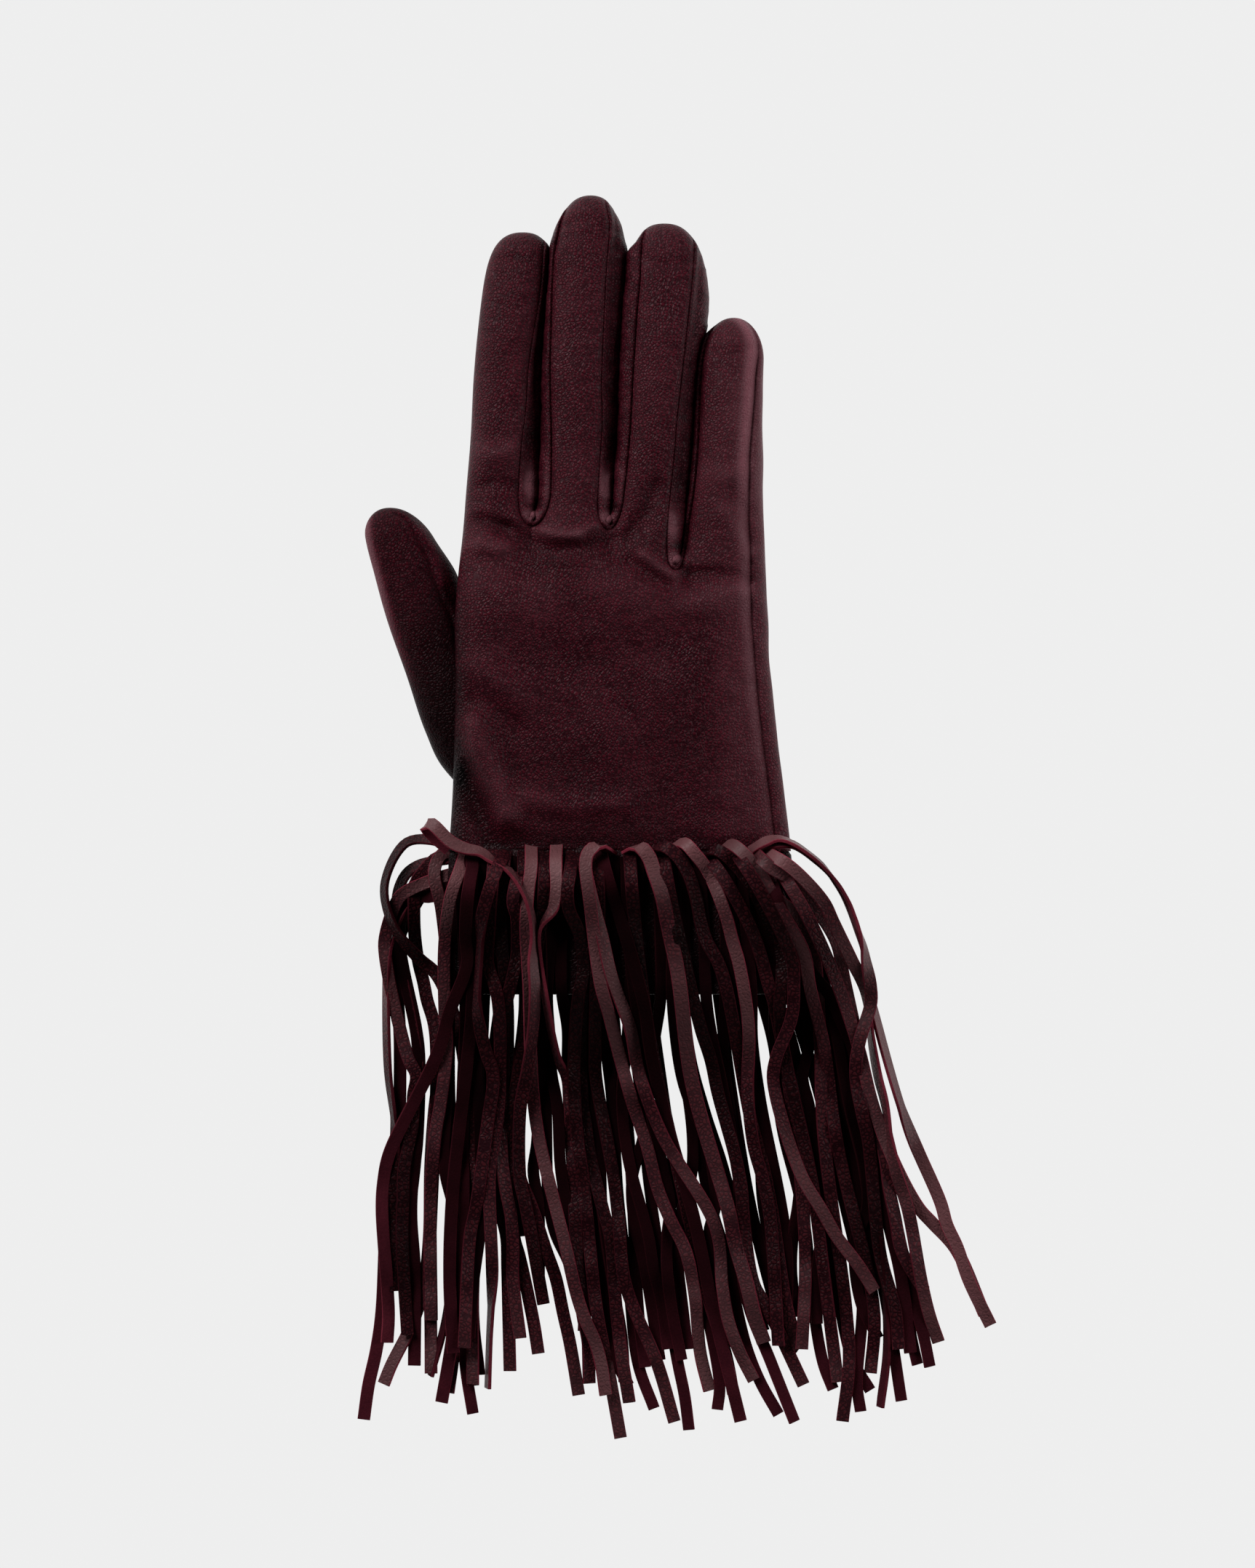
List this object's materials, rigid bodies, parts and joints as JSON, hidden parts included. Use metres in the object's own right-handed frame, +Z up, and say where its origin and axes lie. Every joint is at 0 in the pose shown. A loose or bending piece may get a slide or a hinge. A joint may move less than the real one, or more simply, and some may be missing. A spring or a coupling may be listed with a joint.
{
  "type": "fringed leather glove",
  "caption": "Long-fringed dress glove of thin leather for a right hand, lying palm down, its hand, thumb, fingers and cuff hollow.",
  "frame": {"origin": "middle of the palm, on the surface that the glove lies on", "axes": "+Y along the hand towards the fingertips, +X towards the little finger's side, +Z up out of the back of the hand"},
  "size_m": [0.178, 0.3417, 0.0216],
  "materials": {
    "glove_leather": "fine-grained soft nappa, dark burgundy, dull satin",
    "fringe_leather": "the same leather cut into strips, with a suede back and raw cut edges"
  },
  "bodies": {
    "root": {"trank": "glove_leather", "fourchette_index_middle": "glove_leather", "fourchette_middle_ring": "glove_leather", "fourchette_ring_little": "glove_leather", "thumb": "glove_leather", "cuff": "glove_leather", "fringe": "fringe_leather"}
  },
  "joints": []
}
